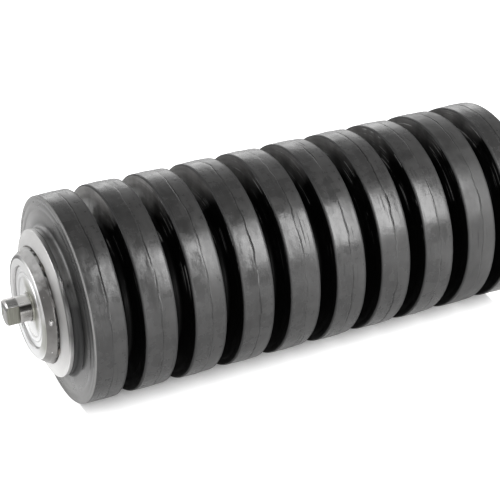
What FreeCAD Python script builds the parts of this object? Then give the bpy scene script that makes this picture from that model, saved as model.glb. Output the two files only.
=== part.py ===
import FreeCAD, Part
import Sketcher
import math
import os

# Rubber disc impact idler roller. Millimetres, +Z up, the roller's axis along Y, its middle at the origin.
# Pieces of the two ends are drawn once, measured inboard from the outer face of the bearing housing.

SIZES = (
    ("disc_count", "10", "rubber discs on the tube"),
    ("disc_diameter", "159.0", "outside of a rubber disc"),
    ("disc_rim_width", "25.0", "width of a disc at its rim"),
    ("disc_gap", "13.7", "space between two neighbouring rims"),
    ("disc_hub_wall", "11.1", "rubber of the hub over the tube"),
    ("disc_draft", "0.5", "how much a side face leans in from hub to rim"),
    ("disc_rim_draft", "0.35", "how much a rim falls from its middle to its edges"),
    ("disc_edge_radius", "1.0", "rounding of the rim's edges"),
    ("disc_root_radius", "3.0", "rounding where a side face meets the hub"),
    ("parting_width", "0.8", "width of the moulding line round a rim"),
    ("parting_depth", "0.4", "depth of the moulding line round a rim"),
    ("tube_diameter", "88.9", "outside of the steel tube"),
    ("tube_wall", "4.0", "wall of the steel tube"),
    ("retainer_width", "11.4", "radial width of the retaining ring"),
    ("retainer_thickness", "3.2", "retaining ring at its outer edge"),
    ("retainer_rise", "3.4", "retaining ring's front face raised toward the tube"),
    ("retainer_edge", "0.5", "broken edge of the retaining ring"),
    ("nose_length", "9.0", "housing outside the retaining ring"),
    ("nose_step", "0.6", "nose root set in from the tube's outside"),
    ("nose_taper", "5.0", "nose radius lost from root to lip"),
    ("nose_land", "2.0", "straight stretch at the root of the nose"),
    ("nose_edge_radius", "1.5", "rounding of the nose lip"),
    ("lip_width", "7.3", "flat ring round the housing's mouth"),
    ("spigot_length", "22.0", "housing inside the tube"),
    ("spigot_wall", "4.0", "outer wall of the housing"),
    ("web_thickness", "4.5", "web between housing wall and bearing boss"),
    ("boss_wall", "5.0", "wall round the bearing seat"),
    ("shoulder_height", "3.0", "step that the bearing sits against"),
    ("shoulder_depth", "4.5", "length of that step"),
    ("casting_radius", "1.5", "rounding in the housing's rear pocket"),
    ("shaft_diameter", "20.0", "fixed shaft"),
    ("shaft_projection", "17.2", "shaft outside the housing's lip"),
    ("shaft_chamfer", "1.0", "chamfer of the shaft's ends"),
    ("flat_across", "14.0", "shaft across its two flats"),
    ("flat_length", "9.0", "length of the flats"),
    ("bearing_diameter", "47.0", "outside of the ball bearing"),
    ("bearing_width", "14.0", "width of the ball bearing"),
    ("bearing_edge", "0.8", "broken edges of the races"),
    ("ball_count", "8", "balls in a bearing"),
    ("ball_diameter", "7.94", "bearing ball"),
    ("ball_clearance", "0.02", "running gap between a ball and a track"),
    ("track_radius", "4.13", "radius of the ball tracks"),
    ("track_depth", "1.3", "depth of the ball tracks"),
    ("cage_wall", "2.6", "radial wall of the ball cage"),
    ("cage_flange", "1.3", "cage beyond the balls at each side"),
    ("cage_clearance", "0.15", "gap between a ball and its pocket"),
    ("cover_recess", "2.0", "dust cover behind the housing's lip"),
    ("cover_thickness", "1.5", "sheet of the dust cover"),
    ("cover_skirt", "1.4", "dust cover's edge turned inboard"),
    ("cover_gap", "0.6", "space between dust cover and shaft"),
    ("cover_collar", "1.2", "turned-out collar round the cover's hole"),
    ("cover_bead_height", "0.8", "pressed ring in the dust cover"),
    ("cover_bead_width", "3.6", "width of that pressed ring"),
    ("clip_thickness", "1.2", "circlip"),
    ("clip_groove", "0.5", "depth of the circlip's groove"),
    ("clip_band", "2.6", "radial width of the circlip opposite its gap"),
    ("clip_offset", "0.4", "circlip's outer edge off centre, toward its back"),
    ("clip_opening", "4.0", "gap between the circlip's ends"),
    ("clip_ear_radius", "2.0", "ears of the circlip"),
    ("clip_hole_diameter", "2.0", "holes in the circlip's ears"),
    ("seal_gap", "1.0", "running gap of the labyrinth seal"),
    ("seal_web", "1.8", "web of a labyrinth ring"),
    ("seal_sleeve", "3.0", "wall of the fixed labyrinth ring's sleeve"),
    ("fin_length", "4.0", "fins of the labyrinth rings"),
    ("rear_seal_gap", "0.4", "rear seal's running gap on the shaft"),
    ("weld_count", "4", "tack welds at each end"),
    ("weld_leg", "1.2", "tack weld on the retaining ring's face"),
    ("weld_bulge", "0.5", "crown of a tack weld"),
    ("weld_arc", "9.0", "degrees that a tack weld covers"),
    ("weld_start", "-23.0", "degrees from the top to the first tack weld"),
)

PLACES = (
    ("disc_radius", "Sizes.disc_diameter / 2"),
    ("disc_pitch", "Sizes.disc_rim_width + Sizes.disc_gap"),
    ("rim_start", "Sizes.disc_gap / 2"),
    ("rim_end", "Sizes.disc_gap / 2 + Sizes.disc_rim_width"),
    ("rim_middle", "(Sizes.disc_gap + Sizes.disc_rim_width) / 2"),
    ("stack_length", "Sizes.disc_count * (Sizes.disc_rim_width + Sizes.disc_gap)"),
    ("tube_radius", "Sizes.tube_diameter / 2"),
    ("tube_bore", "Sizes.tube_diameter / 2 - Sizes.tube_wall"),
    ("tube_length", "stack_length + 2 * (Sizes.retainer_thickness + Sizes.retainer_rise)"),
    ("hub_radius", "tube_radius + Sizes.disc_hub_wall"),
    ("retainer_radius", "tube_radius + Sizes.retainer_width"),
    ("end_place", "tube_length / 2 + Sizes.nose_length"),
    ("root_radius", "tube_radius - Sizes.nose_step"),
    ("lip_radius", "root_radius - Sizes.nose_taper"),
    ("mouth_radius", "lip_radius - Sizes.lip_width"),
    ("taper_end", "Sizes.nose_length - Sizes.nose_land"),
    ("spigot_end", "Sizes.nose_length + Sizes.spigot_length"),
    ("spigot_bore", "tube_bore - Sizes.spigot_wall"),
    ("shaft_radius", "Sizes.shaft_diameter / 2"),
    ("shaft_half", "end_place + Sizes.shaft_projection"),
    ("bearing_radius", "Sizes.bearing_diameter / 2"),
    ("boss_radius", "bearing_radius + Sizes.boss_wall"),
    ("rear_bore", "bearing_radius - Sizes.shoulder_height"),
    ("ball_circle", "(shaft_radius + bearing_radius) / 2"),
    ("ball_radius", "Sizes.ball_diameter / 2"),
    ("inner_land", "ball_circle - ball_radius + Sizes.track_depth"),
    ("outer_land", "ball_circle + ball_radius - Sizes.track_depth"),
    ("inner_track", "ball_circle - ball_radius - Sizes.ball_clearance + Sizes.track_radius"),
    ("outer_track", "ball_circle + ball_radius + Sizes.ball_clearance - Sizes.track_radius"),
    ("cover_back", "Sizes.cover_recess + Sizes.cover_thickness"),
    ("cover_hole", "shaft_radius + Sizes.cover_gap"),
    ("cover_bead", "(cover_hole + mouth_radius) / 2 + Sizes.cover_bead_width"),
    ("clip_start", "cover_back + Sizes.seal_gap"),
    ("clip_seat", "shaft_radius - Sizes.clip_groove"),
    ("seal_start", "clip_start + Sizes.clip_thickness"),
    ("sleeve_radius", "shaft_radius + Sizes.seal_sleeve"),
    ("fin_start", "seal_start + Sizes.seal_web"),
    ("fin_end", "fin_start + Sizes.fin_length"),
    ("fin_width", "(mouth_radius - sleeve_radius - 7 * Sizes.seal_gap) / 6"),
    ("fin_pitch", "fin_width + Sizes.seal_gap"),
    ("chamber_end", "fin_end + Sizes.seal_gap + Sizes.seal_web"),
    ("web_end", "chamber_end + Sizes.web_thickness"),
    ("bearing_start", "chamber_end + Sizes.seal_gap"),
    ("bearing_middle", "bearing_start + Sizes.bearing_width / 2"),
    ("bearing_end", "bearing_start + Sizes.bearing_width"),
    ("boss_end", "bearing_end + Sizes.shoulder_depth"),
)

ENDS = ("left", "right")

doc = FreeCAD.newDocument("impact_idler_roller")
sizes = doc.addObject("Spreadsheet::Sheet", "Sizes")
for row, (alias, number, note) in enumerate(SIZES, start=1):
    sizes.set(f"A{row}", note)
    sizes.set(f"B{row}", number)
    sizes.setAlias(f"B{row}", alias)
places = doc.addObject("Spreadsheet::Sheet", "Places")
for row, (alias, formula) in enumerate(PLACES, start=1):
    places.set(f"A{row}", alias.replace("_", " "))
    places.set(f"B{row}", f"={formula}")
    places.setAlias(f"B{row}", alias)
    doc.recompute()

subparts = []


def number(expression):
    """What an expression over the two sheets comes to."""
    return float(sizes.evalExpression(expression))


def origin(body, role):
    """A plane or axis of a body's own origin."""
    return [feature for feature in body.Origin.OriginFeatures if feature.Role == role][0]


def new_body(label, end=None):
    """A sub-part; one that belongs to an end is measured inboard from that end's housing face."""
    body = doc.addObject("PartDesign::Body", label)
    body.Label = label
    place_at_end(body, end)
    subparts.append(body)
    return body


def place_at_end(item, end):
    """The left end is at -Y, and the right end is the left one turned half round."""
    if end == "left":
        item.setExpression("Placement.Base.y", "-Places.end_place")
    if end == "right":
        item.Placement.Rotation = FreeCAD.Rotation(FreeCAD.Vector(0, 0, 1), 180)
        item.setExpression("Placement.Base.y", "Places.end_place")


def new_sketch(body, name, role):
    sketch = body.newObject("Sketcher::SketchObject", name)
    sketch.AttachmentSupport = [(origin(body, role), "")]
    sketch.MapMode = "FlatFace"
    return sketch


def pin_point(sketch, geometry, position, across, up):
    """Holds one sketch point at two expressions from the sketch's origin."""
    for kind, expression in (("DistanceX", across), ("DistanceY", up)):
        constraint = Sketcher.Constraint(kind, -1, 1, geometry, position, number(expression))
        index = sketch.addConstraint(constraint)
        sketch.setExpression(f"Constraints[{index}]", expression)


def draw_outline(sketch, corners):
    """A closed run of straight lines through corners given as pairs of expressions."""
    points = [FreeCAD.Vector(number(across), number(up), 0) for across, up in corners]
    first = sketch.GeometryCount
    count = len(corners)
    for index in range(count):
        sketch.addGeometry(Part.LineSegment(points[index], points[(index + 1) % count]))
    for index in range(count):
        follower = first + (index + 1) % count
        sketch.addConstraint(Sketcher.Constraint("Coincident", first + index, 2, follower, 1))
    for index, (across, up) in enumerate(corners):
        pin_point(sketch, first + index, 1, across, up)


def draw_circle(sketch, across, up, radius):
    """A circle whose centre and radius are expressions."""
    centre = FreeCAD.Vector(number(across), number(up), 0)
    circle = sketch.addGeometry(Part.Circle(centre, FreeCAD.Vector(0, 0, 1), number(radius)))
    pin_point(sketch, circle, 3, across, up)
    index = sketch.addConstraint(Sketcher.Constraint("Radius", circle, number(radius)))
    sketch.setExpression(f"Constraints[{index}]", radius)


def turned(body, name, corners):
    """A solid of revolution about the roller's axis; corners are (along, radius) pairs."""
    sketch = new_sketch(body, f"{name}_profile", "YZ_Plane")
    draw_outline(sketch, corners)
    solid = body.newObject("PartDesign::Revolution", name)
    solid.Profile = sketch
    solid.ReferenceAxis = (sketch, ["H_Axis"])
    solid.Angle = 360
    doc.recompute()
    return solid


def grooved(body, name, sketch):
    """A cut turned round the roller's axis; it must take something away."""
    before = body.Shape.Volume
    cut = body.newObject("PartDesign::Groove", name)
    cut.Profile = sketch
    cut.ReferenceAxis = (sketch, ["H_Axis"])
    cut.Angle = 360
    doc.recompute()
    if body.Shape.Volume >= before:
        raise RuntimeError(f"{body.Label}: {name} takes nothing away")
    return cut


def padded(body, name, sketch, depth):
    solid = body.newObject("PartDesign::Pad", name)
    solid.Profile = sketch
    solid.Reversed = True
    solid.setExpression("Length", depth)
    doc.recompute()
    return solid


def pocketed(body, name, sketch, depth, both_ways=False):
    """A straight cut; it must take something away."""
    before = body.Shape.Volume
    cut = body.newObject("PartDesign::Pocket", name)
    cut.Profile = sketch
    cut.Midplane = both_ways
    cut.setExpression("Length", depth)
    doc.recompute()
    if body.Shape.Volume >= before:
        raise RuntimeError(f"{body.Label}: {name} takes nothing away")
    return cut


def rings(feature, *wanted):
    """Names of the circular edges at the given (along, radius) pairs of expressions."""
    targets = [(number(along), number(radius)) for along, radius in wanted]
    names = []
    for index, edge in enumerate(feature.Shape.Edges, start=1):
        if not hasattr(edge.Curve, "Radius"):
            continue
        for along, radius in targets:
            if abs(edge.Curve.Radius - radius) < 0.01 and abs(edge.CenterOfMass.y - along) < 0.01:
                names.append(f"Edge{index}")
    if len(names) != len(targets):
        raise RuntimeError(f"{feature.Label}: {len(names)} of {len(targets)} edges found")
    return names


def dressed(body, kind, name, base, edges, size):
    """A fillet or a chamfer on edges of the body's last feature."""
    dress = body.newObject(f"PartDesign::{kind}", name)
    dress.Base = (base, edges)
    dress.setExpression("Radius" if kind == "Fillet" else "Size", size)
    doc.recompute()
    return dress


def patterned(body, name, feature, count):
    """Copies of a feature evenly round the roller's axis."""
    pattern = body.newObject("PartDesign::PolarPattern", name)
    pattern.Originals = [feature]
    pattern.Axis = (origin(body, "Y_Axis"), [""])
    pattern.Angle = 360
    pattern.setExpression("Occurrences", count)
    body.Tip = pattern
    doc.recompute()
    return pattern


def make_shaft():
    """Bright bar with chamfered ends, a circlip groove and two flats near each end."""
    body = new_body("shaft")
    tip = "Places.shaft_half"
    radius = "Places.shaft_radius"
    slim = "Places.shaft_radius - Sizes.shaft_chamfer"
    seat = "Places.clip_seat"
    clip_out = "Places.end_place - Places.clip_start"
    clip_in = "Places.end_place - Places.seal_start"
    half = [
        (f"{tip}", "0"),
        (f"{tip}", slim),
        (f"{tip} - Sizes.shaft_chamfer", radius),
        (clip_out, radius),
        (clip_out, seat),
        (clip_in, seat),
        (clip_in, radius),
    ]
    other = [(f"-({along})", up) for along, up in reversed(half)]
    turned(body, "bar", half + other)
    sketch = new_sketch(body, "flat_outlines", "XY_Plane")
    inner = "Sizes.flat_across / 2"
    outer = "Places.shaft_radius + 1"
    start = "Places.shaft_half - Sizes.flat_length"
    stop = "Places.shaft_half + 1"
    for side in ("", "-"):
        for end in ("", "-"):
            draw_outline(sketch, [
                (f"{side}({inner})", f"{end}({start})"),
                (f"{side}({outer})", f"{end}({start})"),
                (f"{side}({outer})", f"{end}({stop})"),
                (f"{side}({inner})", f"{end}({stop})"),
            ])
    doc.recompute()
    pocketed(body, "flats", sketch, "Sizes.shaft_diameter + 2", both_ways=True)


def make_tube():
    body = new_body("tube")
    half = "Places.tube_length / 2"
    turned(body, "wall", [
        (f"-{half}", "Places.tube_bore"),
        (half, "Places.tube_bore"),
        (half, "Places.tube_radius"),
        (f"-{half}", "Places.tube_radius"),
    ])


def make_disc(position):
    """One moulded rubber disc: rim, drafted side faces, hub, rounded edges and the line of its mould."""
    body = new_body(f"disc_{position + 1:02d}")
    body.setExpression("Placement.Base.y", f"{position} * Places.disc_pitch - Places.stack_length / 2")
    foot_in = "Places.rim_start - min(Sizes.disc_draft; Places.rim_start / 4)"
    foot_out = "Places.rim_end + min(Sizes.disc_draft; Places.rim_start / 4)"
    rim_edge = "Places.disc_radius - Sizes.disc_rim_draft"
    rubber = turned(body, "rubber", [
        ("0", "Places.tube_radius"),
        ("Places.disc_pitch", "Places.tube_radius"),
        ("Places.disc_pitch", "Places.hub_radius"),
        (foot_out, "Places.hub_radius"),
        ("Places.rim_end", rim_edge),
        ("Places.rim_middle", "Places.disc_radius"),
        ("Places.rim_start", rim_edge),
        (foot_in, "Places.hub_radius"),
        ("0", "Places.hub_radius"),
    ])
    roots = rings(rubber, (foot_in, "Places.hub_radius"), (foot_out, "Places.hub_radius"))
    rooted = dressed(body, "Fillet", "root_rounding", rubber, roots,
                     "min(Sizes.disc_root_radius; 0.6 * Places.rim_start)")
    edges = rings(rooted, ("Places.rim_start", rim_edge), ("Places.rim_end", rim_edge))
    dressed(body, "Fillet", "rim_rounding", rooted, edges,
            "min(Sizes.disc_edge_radius; Sizes.disc_rim_width / 4)")
    sketch = new_sketch(body, "parting_profile", "YZ_Plane")
    draw_outline(sketch, [
        ("Places.rim_middle - Sizes.parting_width / 2", "Places.disc_radius + 0.1"),
        ("Places.rim_middle", "Places.disc_radius - Sizes.parting_depth"),
        ("Places.rim_middle + Sizes.parting_width / 2", "Places.disc_radius + 0.1"),
    ])
    doc.recompute()
    grooved(body, "parting_line", sketch)


def make_retainer(end):
    """Ring on the tube that holds the row of discs together, its front face rising toward the tube's end."""
    body = new_body(f"retaining_ring_{end}", end)
    front = "Sizes.nose_length + Sizes.retainer_rise"
    rear = f"{front} + Sizes.retainer_thickness"
    plate = turned(body, "plate", [
        ("Sizes.nose_length", "Places.tube_radius"),
        (rear, "Places.tube_radius"),
        (rear, "Places.retainer_radius"),
        (front, "Places.retainer_radius"),
    ])
    edges = rings(plate, (front, "Places.retainer_radius"))
    dressed(body, "Chamfer", "broken_edge", plate, edges, "Sizes.retainer_edge")


def make_housing(end):
    """Cast housing: tapered nose, spigot in the tube, seal chamber, bearing seat and a cored rear pocket."""
    body = new_body(f"bearing_housing_{end}", end)
    casting = turned(body, "casting", [
        ("0", "Places.mouth_radius"),
        ("0", "Places.lip_radius"),
        ("Places.taper_end", "Places.root_radius"),
        ("Sizes.nose_length", "Places.root_radius"),
        ("Sizes.nose_length", "Places.tube_bore"),
        ("Places.spigot_end", "Places.tube_bore"),
        ("Places.spigot_end", "Places.spigot_bore"),
        ("Places.web_end", "Places.spigot_bore"),
        ("Places.web_end", "Places.boss_radius"),
        ("Places.boss_end", "Places.boss_radius"),
        ("Places.boss_end", "Places.rear_bore"),
        ("Places.bearing_end", "Places.rear_bore"),
        ("Places.bearing_end", "Places.bearing_radius"),
        ("Places.chamber_end", "Places.bearing_radius"),
        ("Places.chamber_end", "Places.mouth_radius"),
    ])
    lip = rings(casting, ("0", "Places.lip_radius"))
    rounded = dressed(body, "Fillet", "lip_rounding", casting, lip,
                      "min(Sizes.nose_edge_radius; Sizes.lip_width / 2)")
    pocket = rings(rounded, ("Places.web_end", "Places.spigot_bore"), ("Places.web_end", "Places.boss_radius"))
    cored = dressed(body, "Fillet", "pocket_rounding", rounded, pocket,
                    "min(Sizes.casting_radius; (Places.spigot_bore - Places.boss_radius) / 3)")
    shoulder = rings(cored, ("Sizes.nose_length", "Places.root_radius"), ("Places.spigot_end", "Places.tube_bore"))
    dressed(body, "Chamfer", "broken_edges", cored, shoulder, "Sizes.retainer_edge")


def make_welds(end):
    """Short fillet welds between the nose, the tube's end and the retaining ring."""
    body = new_body(f"tack_welds_{end}", end)
    sketch = new_sketch(body, "bead_profile", "YZ_Plane")
    foot = "Sizes.nose_length + Sizes.retainer_rise * Sizes.weld_leg / Sizes.retainer_width"
    toe = "Places.taper_end + Sizes.nose_land / 10"
    draw_outline(sketch, [
        ("Sizes.nose_length - Sizes.retainer_edge", "Places.root_radius"),
        ("Sizes.nose_length", "Places.root_radius - Sizes.retainer_edge"),
        ("Sizes.nose_length", "Places.tube_radius"),
        (foot, "Places.tube_radius + Sizes.weld_leg"),
        (f"({foot} + {toe}) / 2 - Sizes.weld_bulge",
         "(Places.tube_radius + Sizes.weld_leg + Places.root_radius) / 2 + Sizes.weld_bulge"),
        (toe, "Places.root_radius"),
    ])
    bead = body.newObject("PartDesign::Revolution", "bead")
    bead.Profile = sketch
    bead.ReferenceAxis = (sketch, ["H_Axis"])
    bead.Midplane = True
    bead.setExpression("Angle", "Sizes.weld_arc")
    doc.recompute()
    patterned(body, "beads", bead, "Sizes.weld_count")
    turn = FreeCAD.Rotation(FreeCAD.Vector(0, 1, 0), -number("Sizes.weld_start"))
    body.Placement.Rotation = body.Placement.Rotation.multiply(turn)


def make_inner_race(end):
    body = new_body(f"inner_race_{end}", end)
    ring = turned(body, "ring", [
        ("Places.bearing_start", "Places.shaft_radius"),
        ("Places.bearing_end", "Places.shaft_radius"),
        ("Places.bearing_end", "Places.inner_land"),
        ("Places.bearing_start", "Places.inner_land"),
    ])
    edges = rings(ring, ("Places.bearing_start", "Places.shaft_radius"), ("Places.bearing_end", "Places.shaft_radius"))
    dressed(body, "Fillet", "corner_rounding", ring, edges,
            "min(Sizes.bearing_edge; (Places.inner_land - Places.shaft_radius) / 3)")
    sketch = new_sketch(body, "track_profile", "YZ_Plane")
    draw_circle(sketch, "Places.bearing_middle", "Places.inner_track", "Sizes.track_radius")
    doc.recompute()
    grooved(body, "ball_track", sketch)


def make_outer_race(end):
    body = new_body(f"outer_race_{end}", end)
    ring = turned(body, "ring", [
        ("Places.bearing_start", "Places.outer_land"),
        ("Places.bearing_end", "Places.outer_land"),
        ("Places.bearing_end", "Places.bearing_radius"),
        ("Places.bearing_start", "Places.bearing_radius"),
    ])
    edges = rings(ring, ("Places.bearing_start", "Places.bearing_radius"),
                  ("Places.bearing_end", "Places.bearing_radius"))
    dressed(body, "Fillet", "corner_rounding", ring, edges,
            "min(Sizes.bearing_edge; (Places.bearing_radius - Places.outer_land) / 3)")
    sketch = new_sketch(body, "track_profile", "YZ_Plane")
    draw_circle(sketch, "Places.bearing_middle", "Places.outer_track", "Sizes.track_radius")
    doc.recompute()
    grooved(body, "ball_track", sketch)


def make_balls(end):
    """The balls of one bearing, one node of separate solids."""
    balls = []
    for index in range(int(number("Sizes.ball_count"))):
        ball = doc.addObject("Part::Sphere", f"ball_{end}_{index + 1}")
        ball.setExpression("Radius", "Places.ball_radius")
        turn = f"{index} * 360 deg / Sizes.ball_count"
        ball.setExpression("Placement.Base.x", f"Places.ball_circle * sin({turn})")
        ball.setExpression("Placement.Base.y", "Places.bearing_middle")
        ball.setExpression("Placement.Base.z", f"Places.ball_circle * cos({turn})")
        balls.append(ball)
    group = doc.addObject("Part::Compound", f"balls_{end}")
    group.Label = f"balls_{end}"
    group.Links = balls
    place_at_end(group, end)
    subparts.append(group)
    doc.recompute()


def make_cage(end):
    """Ring between the races with a round pocket for each ball."""
    body = new_body(f"cage_{end}", end)
    reach = "Places.ball_radius + Sizes.cage_flange"
    inner = "Places.ball_circle - Sizes.cage_wall / 2"
    outer = "Places.ball_circle + Sizes.cage_wall / 2"
    turned(body, "band", [
        (f"Places.bearing_middle - ({reach})", inner),
        (f"Places.bearing_middle + ({reach})", inner),
        (f"Places.bearing_middle + ({reach})", outer),
        (f"Places.bearing_middle - ({reach})", outer),
    ])
    before = body.Shape.Volume
    pocket = body.newObject("PartDesign::SubtractiveSphere", "pocket")
    pocket.setExpression("Radius", "Places.ball_radius + Sizes.cage_clearance")
    pocket.setExpression("Placement.Base.y", "Places.bearing_middle")
    pocket.setExpression("Placement.Base.z", "Places.ball_circle")
    doc.recompute()
    patterned(body, "pockets", pocket, "Sizes.ball_count")
    if body.Shape.Volume >= before:
        raise RuntimeError(f"{body.Label}: the pockets take nothing away")


def make_fixed_seal(end):
    """Labyrinth ring on the shaft: sleeve against the inner race, web and three fins pointing inboard."""
    body = new_body(f"fixed_seal_{end}", end)
    corners = [
        ("Places.seal_start", "Places.shaft_radius"),
        ("Places.bearing_start", "Places.shaft_radius"),
        ("Places.bearing_start", "Places.sleeve_radius"),
        ("Places.fin_start", "Places.sleeve_radius"),
    ]
    for fin in (1, 3, 5):
        foot = f"Places.sleeve_radius + Sizes.seal_gap + {fin} * Places.fin_pitch"
        top = f"{foot} + Places.fin_width"
        corners += [("Places.fin_start", foot), ("Places.fin_end", foot), ("Places.fin_end", top)]
        if fin < 5:
            corners.append(("Places.fin_start", top))
    corners.append(("Places.seal_start", f"{top}"))
    turned(body, "labyrinth", corners)


def make_turning_seal(end):
    """Labyrinth ring in the housing: web against the chamber's floor and three fins pointing outboard."""
    body = new_body(f"turning_seal_{end}", end)
    floor = "Places.chamber_end - Sizes.seal_web"
    crest = "Places.fin_start + Sizes.seal_gap"
    corners = [
        ("Places.chamber_end", "Places.sleeve_radius + Sizes.seal_gap"),
        ("Places.chamber_end", "Places.mouth_radius"),
        (floor, "Places.mouth_radius"),
    ]
    for fin in (4, 2, 0):
        foot = f"Places.sleeve_radius + Sizes.seal_gap + {fin} * Places.fin_pitch"
        top = f"{foot} + Places.fin_width"
        corners += [(floor, top), (crest, top), (crest, foot)]
        if fin > 0:
            corners.append((floor, foot))
    turned(body, "labyrinth", corners)


def make_rear_seal(end):
    """Grease seal pressed in behind the bearing, with a lip that runs close to the shaft."""
    body = new_body(f"rear_seal_{end}", end)
    front = "Places.bearing_end + Sizes.seal_gap"
    lip = "Places.shaft_radius + Sizes.rear_seal_gap"
    turned(body, "seal", [
        (front, "Places.rear_bore"),
        (front, f"{lip} + 1.5"),
        (f"{front} + 1", lip),
        ("Places.boss_end", lip),
        ("Places.boss_end", "Places.rear_bore"),
    ])


def make_cover(end):
    """Pressed dust cover in the housing's mouth: skirt, pressed ring and a collar round the shaft's hole."""
    body = new_body(f"dust_cover_{end}", end)
    front = "Sizes.cover_recess"
    bead = "Sizes.cover_recess - Sizes.cover_bead_height"
    skirt = "Places.cover_back + Sizes.cover_skirt - Sizes.seal_gap / 2"
    collar = "Sizes.cover_recess - Sizes.cover_collar"
    sheet = turned(body, "sheet", [
        (collar, "Places.cover_hole"),
        (collar, "Places.cover_hole + Sizes.cover_thickness"),
        (front, "Places.cover_hole + Sizes.cover_thickness"),
        (front, "Places.cover_bead - Sizes.cover_bead_width / 2"),
        (bead, "Places.cover_bead - Sizes.cover_bead_width / 4"),
        (bead, "Places.cover_bead + Sizes.cover_bead_width / 4"),
        (front, "Places.cover_bead + Sizes.cover_bead_width / 2"),
        (front, "Places.mouth_radius"),
        (skirt, "Places.mouth_radius"),
        (skirt, "Places.mouth_radius - Sizes.cover_thickness"),
        ("Places.cover_back", "Places.mouth_radius - Sizes.cover_thickness"),
        ("Places.cover_back", "Places.cover_hole"),
    ])
    edges = rings(sheet, (collar, "Places.cover_hole"), (collar, "Places.cover_hole + Sizes.cover_thickness"))
    dressed(body, "Fillet", "collar_rounding", sheet, edges, "Sizes.cover_thickness / 3")


def make_circlip(end):
    """Open retaining ring in the shaft's groove, with two eared ends."""
    body = new_body(f"circlip_{end}", end)
    seat = "Places.clip_seat"
    ear_place = "Places.shaft_radius + Sizes.clip_ear_radius * 0.7"
    ear_side = "Sizes.clip_opening / 2 + Sizes.clip_ear_radius"
    band = new_sketch(body, "band_outline", "XZ_Plane")
    band.setExpression("AttachmentOffset.Base.z", "-Places.clip_start")
    draw_circle(band, "0", "0", seat)
    draw_circle(band, "0", "-Sizes.clip_offset", f"{seat} + Sizes.clip_band - Sizes.clip_offset")
    doc.recompute()
    padded(body, "band", band, "Sizes.clip_thickness")
    for side, name in (("", "front"), ("-", "back")):
        ear = new_sketch(body, f"{name}_ear_outline", "XZ_Plane")
        ear.setExpression("AttachmentOffset.Base.z", "-Places.clip_start")
        draw_circle(ear, f"{side}({ear_side})", ear_place, "Sizes.clip_ear_radius")
        doc.recompute()
        padded(body, f"{name}_ear", ear, "Sizes.clip_thickness")
    opening = new_sketch(body, "opening_outline", "XZ_Plane")
    opening.setExpression("AttachmentOffset.Base.z", "-Places.clip_start")
    reach = f"{ear_place} + 2 * Sizes.clip_ear_radius"
    draw_outline(opening, [
        ("-Sizes.clip_opening / 2", "0"),
        ("Sizes.clip_opening / 2", "0"),
        ("Sizes.clip_opening / 2", reach),
        ("-Sizes.clip_opening / 2", reach),
    ])
    doc.recompute()
    pocketed(body, "opening", opening, "Sizes.clip_thickness * 3", both_ways=True)
    holes = new_sketch(body, "hole_outlines", "XZ_Plane")
    holes.setExpression("AttachmentOffset.Base.z", "-Places.clip_start")
    for side in ("", "-"):
        draw_circle(holes, f"{side}({ear_side})", ear_place, "Sizes.clip_hole_diameter / 2")
    doc.recompute()
    pocketed(body, "holes", holes, "Sizes.clip_thickness * 3", both_ways=True)


make_shaft()
make_tube()
for position in range(int(number("Sizes.disc_count"))):
    make_disc(position)
for end in ENDS:
    make_retainer(end)
    make_housing(end)
    make_welds(end)
    make_inner_race(end)
    make_outer_race(end)
    make_balls(end)
    make_cage(end)
    make_fixed_seal(end)
    make_turning_seal(end)
    make_rear_seal(end)
    make_cover(end)
    make_circlip(end)
doc.recompute()

for item in doc.Objects:
    if "Invalid" in item.State or "Error" in item.State:
        raise RuntimeError(f"{item.Label}: {item.State}")
for item in subparts:
    if item.Shape.isNull() or not item.Shape.isValid() or not item.Shape.Solids:
        raise RuntimeError(f"{item.Label}: no valid solid")

os.makedirs("parts", exist_ok=True)
for item in subparts:
    item.Shape.exportStep(f"parts/{item.Label}.step")
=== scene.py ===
"""Looks of a rubber disc impact roller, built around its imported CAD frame."""

import math

import bmesh
import bpy
from mathutils import Matrix, Vector


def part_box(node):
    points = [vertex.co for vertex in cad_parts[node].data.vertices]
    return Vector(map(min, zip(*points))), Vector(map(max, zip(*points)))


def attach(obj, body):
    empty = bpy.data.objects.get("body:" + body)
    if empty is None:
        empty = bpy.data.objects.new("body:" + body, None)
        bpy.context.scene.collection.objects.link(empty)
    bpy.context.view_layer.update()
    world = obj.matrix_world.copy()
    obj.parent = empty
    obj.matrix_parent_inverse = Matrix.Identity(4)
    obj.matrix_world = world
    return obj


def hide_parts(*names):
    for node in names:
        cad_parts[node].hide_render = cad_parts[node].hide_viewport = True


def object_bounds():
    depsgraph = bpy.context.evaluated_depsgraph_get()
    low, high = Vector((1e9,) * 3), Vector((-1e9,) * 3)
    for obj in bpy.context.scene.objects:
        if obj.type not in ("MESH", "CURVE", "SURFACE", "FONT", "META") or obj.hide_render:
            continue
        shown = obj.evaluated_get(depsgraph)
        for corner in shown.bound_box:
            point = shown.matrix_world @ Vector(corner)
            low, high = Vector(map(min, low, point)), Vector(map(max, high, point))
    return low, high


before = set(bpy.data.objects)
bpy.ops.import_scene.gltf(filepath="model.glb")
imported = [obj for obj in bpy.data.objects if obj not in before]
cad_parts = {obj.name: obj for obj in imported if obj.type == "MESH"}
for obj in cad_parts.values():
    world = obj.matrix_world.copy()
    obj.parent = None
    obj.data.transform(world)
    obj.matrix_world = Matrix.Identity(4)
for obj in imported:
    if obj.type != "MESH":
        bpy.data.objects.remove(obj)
cad_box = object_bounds()
MM = 0.001


def middle_of(node):
    """Where a node's middle lies along the axis."""
    low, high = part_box(node)
    return (low[1] + high[1]) / 2


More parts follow.
